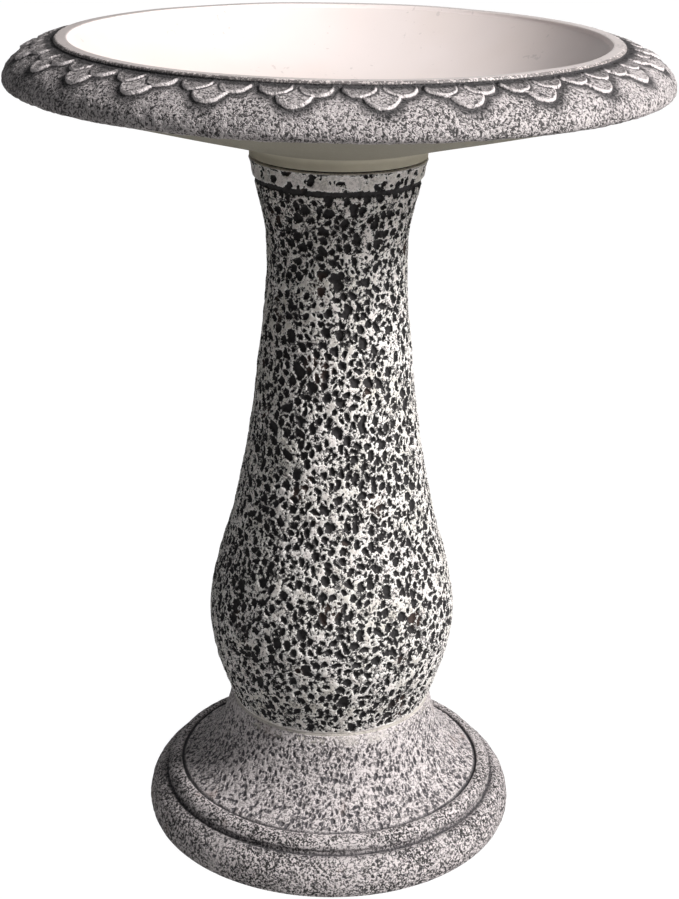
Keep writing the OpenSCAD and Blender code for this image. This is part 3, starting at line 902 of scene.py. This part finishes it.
class BATH_OT_pedestal(bpy.types.Operator):
    """Hollow pedestal: baluster swell, plain band, groove and deep pits"""
    bl_idname = "bath.pedestal"
    bl_label = "Pedestal"

    def execute(self, context):
        s, finish = context.scene.bath_pedestal, context.scene.bath_finish
        low, high = PEDESTAL_LOW.z, PEDESTAL_HIGH.z
        count = 500
        groove_z = high - s.band_h - CAD_GROOVE_W / 2
        heights = np.linspace(low + 0.2 * MM, high - 0.2 * MM, int((high - low) / (0.8 * MM)))
        radii = outside_radius("pedestal", heights)
        clear = np.abs(heights - groove_z) > CAD_GROOVE_W
        radii = smoothed(np.interp(heights, heights[clear], radii[clear]), 12)
        radii = radii - TOP_EASE * smooth(heights, groove_z + 2 * MM, high - 3 * MM)
        side = evenly(np.stack([radii, heights], 1), 1.12 * MM)
        round_by = 0.9 * MM
        foot, mouth = side[0], side[-1]
        wall_at = np.linspace(high - 30 * MM, low + 6 * MM, 22)
        inner = np.interp(wall_at, heights, radii) - s.wall
        inner = np.where(wall_at > low + 0.8 * (high - low), np.minimum(inner, s.socket_r), inner)
        inner_mouth = foot[0] - s.wall
        o = Outline()
        side = side[(side[:, 1] > low + round_by) & (side[:, 1] < high - round_by)]
        o.add(line((inner_mouth, low), (foot[0] - round_by, low), 4 * MM), count)
        o.add([(foot[0] - 0.05 * MM, low + 0.15 * MM)], count, fresh=True)
        o.add(side, count, fresh=True)
        brim_r = mouth[0] - round_by
        o.add(arc((brim_r, high - round_by), round_by, round_by, 0, 90, 0.6 * MM), count, fresh=True)
        o.add(line((brim_r, high), (s.socket_r, high), 3 * MM), count)
        o.add(line((s.socket_r, high), (s.socket_r, high - 28.5 * MM), 7 * MM), count)
        o.add(np.stack([inner, wall_at], 1), count, fresh=True)

        def relief(skin):
            z, points = skin["z"], skin["points"]
            row_r, row_z = skin["rows"].T
            outside = row_r > np.interp(row_z, heights, radii) - 2 * MM
            rows = np.flatnonzero(outside & (row_z > low + MM) & (row_z < high - 0.4 * MM))
            outer = np.isin(skin["row"], rows)
            chance = np.random.default_rng(20)
            along, radius, height = skin["along"][rows], row_r[rows], row_z[rows]
            reach = np.cumsum(radius)
            pits = []
            room = s.large_pits + s.small_pits
            centres, halves = np.full((room, 3), 9.0), np.zeros(room)

            def sow(taken, number, size_low, size_high, parts, apart):
                """Sows pits evenly: each keeps clear of the ones before it, by a share of their sizes."""
                last = taken + number
                for _ in range(number * 3):
                    if taken >= last:
                        break
                    k = int(np.searchsorted(reach, chance.uniform(0, reach[-1])))
                    turn, tilt = chance.uniform(0, 2 * math.pi), chance.normal(0.25, 0.5)
                    size = size_low * (size_high / size_low) ** chance.beta(1.3, 1.9)
                    place = np.array([radius[k] * math.cos(turn), radius[k] * math.sin(turn), height[k]])
                    off = centres[:taken] - place
                    if taken and (np.sqrt((off * off).sum(1)) < apart * (halves[:taken] + size)).any():
                        continue
                    longer = chance.uniform(1.0, 2.0)
                    a, b = size / math.sqrt(longer), size * math.sqrt(longer)
                    in_band = height[k] > groove_z - 4 * MM
                    by_seam = height[k] < low + 1.5 * MM + 0.7 * b
                    if by_seam or (in_band and (chance.uniform() > 0.36 or size > 3.9 * MM)):
                        continue
                    centres[taken], halves[taken] = place, size
                    taken += 1
                    for part in range(1 + int(chance.uniform() ** 1.6 * parts)):
                        if part:
                            turn += chance.normal(0, 0.55) * a / radius[k]
                        at = along[k] + (chance.normal(0, 0.55) * b if part else 0)
                        pits.append((taken, turn % (2 * math.pi), at, a * chance.uniform(0.75, 1.0),
                                     b * chance.uniform(0.75, 1.0), tilt + chance.normal(0, 0.3)))
                return taken

            taken = sow(0, s.large_pits, 2.9 * MM, 6.0 * MM, 3, 0.73)
            sow(taken, s.small_pits, 1.1 * MM, 2.4 * MM, 1, 0.65)
            field = scatter_pits(skin, rows, pits, 5.0 * MM, 1.3 * MM, 0.5 * MM, 41)
            wobble = 0.5 * MM * soft_noise(points, 14 * MM, 45) + 0.45 * MM * soft_noise(points, 4 * MM, 51)
            off = np.abs(z - groove_z + wobble) - s.groove_w / 2
            cut = outer * (1 - smooth(off, -0.6 * MM, 0.6 * MM))
            # Painted shadow: a ragged dark line just under the bowl's collar, which takes the pits'
            # charcoal.
            collar_shadow_line = high - 0.9 * MM - z + 1.6 * MM * soft_noise(points, 5 * MM, 46)
            marks = np.minimum(field, np.minimum(off, collar_shadow_line) / MM)
            skin["values"]["pit_edge"] = np.clip(np.where(outer, marks, 9.0), -6, 6)
            band = smooth(z, groove_z - 8 * MM, groove_z)
            seam = 1 - smooth(z, low + 1 * MM, low + 5 * MM)
            skin["values"]["calm_share"] = np.clip(np.maximum(band * 0.75, seam), 0, 1)
            pit = smooth(field, 0.35, -1.7) * s.pit_depth
            swell = 0.55 * soft_noise(points, 16 * MM, 47) + 0.35 * soft_noise(points, 6 * MM, 48)
            swell += 0.22 * soft_noise(points, 2.8 * MM, 49)
            edge_calm = smooth(z, low, low + 4 * MM) * (1 - 0.6 * band)
            return outer * (swell * MM * edge_calm - pit - s.groove_d * cut)

        obj = lathe("pedestal_casting", o, relief, closed=True)
        settle(obj, "pedestal", "stand", [pitted_cream(finish)])
        return {"FINISHED"}


class BATH_OT_mortar(bpy.types.Operator):
    """Mortar bed and the uneven bead squeezed out of it"""
    bl_idname = "bath.mortar"
    bl_label = "Mortar bed"

    def execute(self, context):
        finish = context.scene.bath_finish
        low, high = BED_LOW.z, BED_HIGH.z
        base = context.scene.bath_base
        inner, shoulder = base.ring_r + MM, base.shoulder_r - SHOULDER_EASE
        foot = outside_radius("pedestal", [high + 0.4 * MM])[0]
        tip = (shoulder + 1.0 * MM, low - 7.5 * MM)
        count = 420
        o = Outline()
        o.add(line((inner, low), (foot - 3 * MM, low), 5 * MM), count)
        o.add(cubic((foot - 3 * MM, low), (foot - 2 * MM, low - 2 * MM),
                    (shoulder - 1.6 * MM, low - 4 * MM), tip, 1.2 * MM), count)
        o.add(cubic(tip, (shoulder + 1.4 * MM, low - 4 * MM),
                    (foot + 0.3 * MM, low - 1.5 * MM), (foot - 0.1 * MM, high), 0.9 * MM), count)
        o.add(line((foot - 0.1 * MM, high), (inner, high), 5 * MM), count)

        def relief(skin):
            z, points = skin["z"], skin["points"]
            side = smooth(skin["out"], 0.3, 0.8)
            lowest = 1 - smooth(z, low - 7 * MM, low - 1 * MM)
            uneven = 0.5 * soft_noise(points, 16 * MM, 61) + 0.35 * soft_noise(points, 5 * MM, 62)
            line_z = low - 5.2 * MM + 0.9 * MM * soft_noise(points, 9 * MM, 63)
            skin["values"]["stain_share"] = 0.75 * (1 - smooth(z - line_z, 0, 1.4 * MM))
            return side * uneven * MM * (0.15 + 0.85 * lowest)

        obj = lathe("mortar_bead", o, relief, closed=True)
        mortar = gritty("mortar", finish.mortar, toned(finish.mortar, 0.3), 0.0022, 0.7 * MM)
        settle(obj, "bedding_ring", "stand", [mortar])
        return {"FINISHED"}


class BATH_OT_base(bpy.types.Operator):
    """Bell-shaped base: pitted flare, two grooves and a heavy foot ring"""
    bl_idname = "bath.base"
    bl_label = "Base"

    def execute(self, context):
        s, finish = context.scene.bath_base, context.scene.bath_finish
        top, ring_top = s.shoulder_h, BASE_HIGH.z
        count, step = 660, 1.15 * MM
        foot_w = BASE_R - s.wide_r + 6 * MM
        foot_h = s.wide_z - s.mid_z
        foot_c = (BASE_R - foot_w, s.mid_z)
        ring = arc(foot_c, foot_w, foot_h, 0, 78, step)
        under = arc(foot_c, foot_w, s.mid_z * 2, -30, 0, step)
        band = cubic((s.wide_r, s.wide_z), (s.wide_r - 2 * MM, s.wide_z + 6 * MM),
                     (s.fine_r + 8 * MM, s.fine_z + 3 * MM), (s.fine_r, s.fine_z), 0.8 * MM)
        round_by = 1.2 * MM
        shoulder = (s.shoulder_r - SHOULDER_EASE, top - round_by)
        flare = cubic((s.fine_r, s.fine_z), (s.fine_r - 37 * MM, s.fine_z + 17 * MM),
                      (s.shoulder_r + 2.5 * MM, top - 15 * MM), shoulder, step)
        roof = top - s.wall
        inner_flare = flare[flare[:, 1] < roof][::-8] - np.array([s.wall, 0])
        o = Outline()
        o.add(line((BASE_R - s.rest_w, 0), under[0] - np.array([0.8 * MM, 0]), 6 * MM), count)
        o.add(under[1:], count, fresh=True)
        o.add(ring, count)
        o.add(line(ring[-1], band[0], 0.9 * MM), count, fresh=True)
        o.add(band, count)
        o.add(flare, count)
        o.add(arc((shoulder[0] - round_by, shoulder[1]), round_by, round_by, 0, 90, 0.6 * MM), count)
        ring_in, corner = s.ring_r - s.ring_t, (s.fine_r - s.wall, s.fine_z - s.wall / 2)
        o.add_all((
            line((shoulder[0] - round_by, top), (s.ring_r, top), 4 * MM),
            line((s.ring_r, top), (s.ring_r, ring_top), 6 * MM),
            line((s.ring_r, ring_top), (ring_in, ring_top), 6 * MM),
            line((ring_in, ring_top), (ring_in, roof), 9 * MM),
            line((ring_in, roof), inner_flare[0], 8 * MM),
            inner_flare,
            line(inner_flare[-1], corner, 8 * MM),
            line(corner, (BASE_R - s.rest_w, 0), 9 * MM)[:-1]), count)

        def relief(skin):
            r, z, points, turn = skin["r"], skin["z"], skin["points"], skin["turn"]
            top_row = int(np.argmax(skin["rows"][:, 1] >= top - 1e-6))
            rows = np.array([i for i in range(top_row) if 0.1 * MM < skin["rows"][i, 1] < top - 0.2 * MM])
            outer = np.isin(skin["row"], rows)
            chance = np.random.default_rng(77)
            along = skin["along"][rows]
            radius, height = skin["rows"][rows, 0], skin["rows"][rows, 1]
            on_flare = (height > s.fine_z + 1.5 * MM) & (radius < s.fine_r - 2 * MM)
            reach = np.cumsum(radius * on_flare)
            pits = []
            for number in range(s.pits):
                k = int(np.searchsorted(reach, chance.uniform(0, reach[-1])))
                size = 1.5 * MM * 1.8 ** chance.uniform()
                longer = chance.uniform(1.1, 2.6)
                pits.append((number, chance.uniform(0, 2 * math.pi), along[k], size / math.sqrt(longer),
                             size * math.sqrt(longer), chance.normal(0, 0.3)))
            on_foot = (height < s.wide_z - 2 * MM)
            reach_foot = np.cumsum(radius * on_foot)
            for number in range(s.pits, s.pits * 4 // 3):
                k = int(np.searchsorted(reach_foot, chance.uniform(0, reach_foot[-1])))
                size = chance.uniform(0.7, 1.4) * MM
                pits.append((number, chance.uniform(0, 2 * math.pi), along[k], size, size, 0.0))
            field = scatter_pits(skin, rows, pits, 3.6 * MM, 0.6 * MM, 0.5 * MM, 81)
            front = np.angle(np.exp(1j * (turn - math.radians(-72))))
            smear = 0.72 * np.exp(-(front / 0.5) ** 2) * smooth(z, top - 15 * MM, top - 3 * MM)
            smear = np.maximum(smear, 0.42 * smooth(z, top - 9 * MM, top - 4 * MM))
            smear = smear * (0.75 + 0.45 * soft_noise(points, 15 * MM, 83)) * outer
            skin["values"]["smear_share"] = np.clip(smear, 0, 1)
            wobble = 0.3 * MM * soft_noise(points, 12 * MM, 84)
            fine_off = np.hypot(r - s.fine_r + wobble, z - s.fine_z)
            wide_off = np.hypot(r - s.wide_r - 0.5 * MM + wobble, z - s.wide_z)
            fine_cut = outer * (1 - smooth(fine_off, 0.8 * MM, 1.8 * MM))
            wide_cut = outer * (1 - smooth(wide_off, 0.8 * MM, 3.0 * MM))
            skin["values"]["pit_edge"] = np.clip(field + 3 * smooth(smear, 0.25, 0.6), -6, 6)
            # Painted shadow: a soft dark zone around the wide groove, standing for the shadow under the band
            # above it.
            stain_and_shadow = 0.5 * outer * np.exp(-(wide_off / (4.8 * MM)) ** 2)
            skin["values"]["groove_depth"] = np.clip(np.maximum(np.maximum(fine_cut, wide_cut), stain_and_shadow), 0, 1)
            pit = smooth(field + 3 * smooth(smear, 0.25, 0.6), 0.3, -1.0) * s.pit_depth
            lumps = 0.35 * soft_noise(points, 14 * MM, 85) + 0.22 * soft_noise(points, 5 * MM, 86)
            lumps += 0.16 * soft_noise(points, 2.6 * MM, 87)
            fade = smooth(z, 0, 4 * MM) * (1 - smooth(z, top - 3 * MM, top))
            return outer * (lumps * MM * fade - pit * fade - 1.5 * MM * fine_cut - 2.1 * MM * wide_cut)

        obj = lathe("base_casting", o, relief, closed=True)
        settle(obj, "base", "stand", [speckled_grey(finish, s)])
        return {"FINISHED"}


def make_floor(scene, s, level, half):
    """Pale floor that the camera sees as nearly white."""
    mesh = bpy.data.meshes.new("studio_floor")
    corners = ((-half, -half), (half, -half), (half, half), (-half, half))
    mesh.from_pydata([(x, y, level) for x, y in corners], [], [(0, 1, 2, 3)])
    floor = bpy.data.objects.new("studio_floor", mesh)
    scene.collection.objects.link(floor)
    floor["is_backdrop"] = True
    material = bpy.data.materials.new("pale_floor")
    tree = cleared(material)
    matt = tree.nodes.new("ShaderNodeBsdfDiffuse")
    put(tree, matt.inputs["Color"], tuple(s.floor))
    glow = tree.nodes.new("ShaderNodeEmission")
    put(tree, glow.inputs["Color"], (1.0, 1.0, 1.0))
    put(tree, glow.inputs["Strength"], s.glow)
    path = tree.nodes.new("ShaderNodeLightPath")
    mix = tree.nodes.new("ShaderNodeMixShader")
    put(tree, mix.inputs[0], times(tree, path.outputs["Is Camera Ray"], s.glow_share))
    tree.links.new(matt.outputs[0], mix.inputs[1])
    tree.links.new(glow.outputs[0], mix.inputs[2])
    tree.links.new(mix.outputs[0], tree.nodes.new("ShaderNodeOutputMaterial").inputs["Surface"])
    floor.data.materials.append(material)


def make_lamp(scene, name, centre, way, width, energy, tint):
    """A round light that looks at the centre. Way goes from the centre to the light."""
    data = bpy.data.lights.new(name, "AREA")
    data.shape = "DISK"
    data.size = width
    data.energy = energy
    data.color = tint
    lamp = bpy.data.objects.new(name, data)
    lamp.location = centre + way
    lamp.rotation_mode = "QUATERNION"
    lamp.rotation_quaternion = (-way).to_track_quat("-Z", "Y")
    scene.collection.objects.link(lamp)


def make_sky(scene, s):
    """Weak even light from all round, which the camera sees as white."""
    world = bpy.data.worlds.new("studio")
    tree = cleared(world)
    path = tree.nodes.new("ShaderNodeLightPath")
    sky = tree.nodes.new("ShaderNodeBackground")
    put(tree, sky.inputs["Color"], (1.0, 1.0, 1.0))
    put(tree, sky.inputs["Strength"], between(tree, path.outputs["Is Camera Ray"], 0.0, 1.0, s.sky, 1.0))
    tree.links.new(sky.outputs[0], tree.nodes.new("ShaderNodeOutputWorld").inputs["Surface"])
    scene.world = world


def make_camera(scene, s):
    data = bpy.data.cameras.new("camera")
    data.lens = s.lens
    data.sensor_width = 36.0
    data.clip_start = 0.05
    data.clip_end = 100.0
    camera = bpy.data.objects.new("camera", data)
    tilt = Matrix.Rotation(math.pi / 2 - s.pitch, 4, "X") @ Matrix.Rotation(s.roll, 4, "Z")
    camera.matrix_world = Matrix.Translation((s.across, -s.distance, s.height)) @ tilt
    scene.collection.objects.link(camera)
    scene.camera = camera


class BATH_OT_stage(bpy.types.Operator):
    """Pale floor, soft studio light and camera"""
    bl_idname = "bath.stage"
    bl_label = "Stage"

    def execute(self, context):
        scene, s = context.scene, context.scene.bath_stage
        low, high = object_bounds()
        centre, size = (low + high) / 2, (high - low).length
        make_floor(scene, s, low.z, 12 * size)
        for name, way, width, energy, tint in (
                ("key_light", (1.8, -0.98, 1.65), 0.9, s.key, (1.0, 0.985, 0.965)),
                ("fill_light", (-1.5, -1.2, 2.0), 1.6, s.fill, (0.95, 0.98, 1.0)),
                ("low_light", (2.0, -1.1, -0.05), 1.2, s.low, (1.0, 0.99, 0.97)),
                ("back_light", (0.3, 2.6, 0.6), 1.6, s.back, (0.97, 0.98, 1.0))):
            make_lamp(scene, name, centre, Vector(way) * size, width * size, energy, tint)
        make_sky(scene, s)
        make_camera(scene, s)
        scene.view_settings.view_transform = "Standard"
        return {"FINISHED"}


class BATH_PT_panel(bpy.types.Panel):
    """Lists the pieces of the bird bath and their sizes"""
    bl_idname = "BATH_PT_panel"
    bl_label = "Bird bath"
    bl_space_type = "VIEW_3D"
    bl_region_type = "UI"
    bl_category = "Bird bath"

    def draw(self, context):
        for operator in OPERATORS:
            self.layout.operator(operator.bl_idname)
        for name in GROUP_NAMES:
            settings = getattr(context.scene, name)
            box = self.layout.box()
            box.label(text=name.replace("bath_", "").capitalize())
            for key in settings.bl_rna.properties.keys():
                if key not in ("rna_type", "name"):
                    box.prop(settings, key)


OPERATORS = (BATH_OT_base, BATH_OT_mortar, BATH_OT_pedestal, BATH_OT_gasket, BATH_OT_bowl, BATH_OT_stage)
GROUP_NAMES = {"bath_bowl": BATH_bowl_sizes, "bath_pedestal": BATH_pedestal_sizes,
               "bath_base": BATH_base_sizes, "bath_finish": BATH_finish, "bath_stage": BATH_stage}


def register():
    for cls in (*GROUP_NAMES.values(), *OPERATORS, BATH_PT_panel):
        bpy.utils.register_class(cls)
    for name, cls in GROUP_NAMES.items():
        setattr(bpy.types.Scene, name, bpy.props.PointerProperty(type=cls))


def unregister():
    for name in GROUP_NAMES:
        delattr(bpy.types.Scene, name)
    for cls in reversed((*GROUP_NAMES.values(), *OPERATORS, BATH_PT_panel)):
        bpy.utils.unregister_class(cls)


def main():
    register()
    bpy.ops.bath.base()
    bpy.ops.bath.mortar()
    bpy.ops.bath.pedestal()
    bpy.ops.bath.gasket()
    bpy.ops.bath.bowl()
    bpy.ops.bath.stage()


if __name__ == "__main__":
    main()
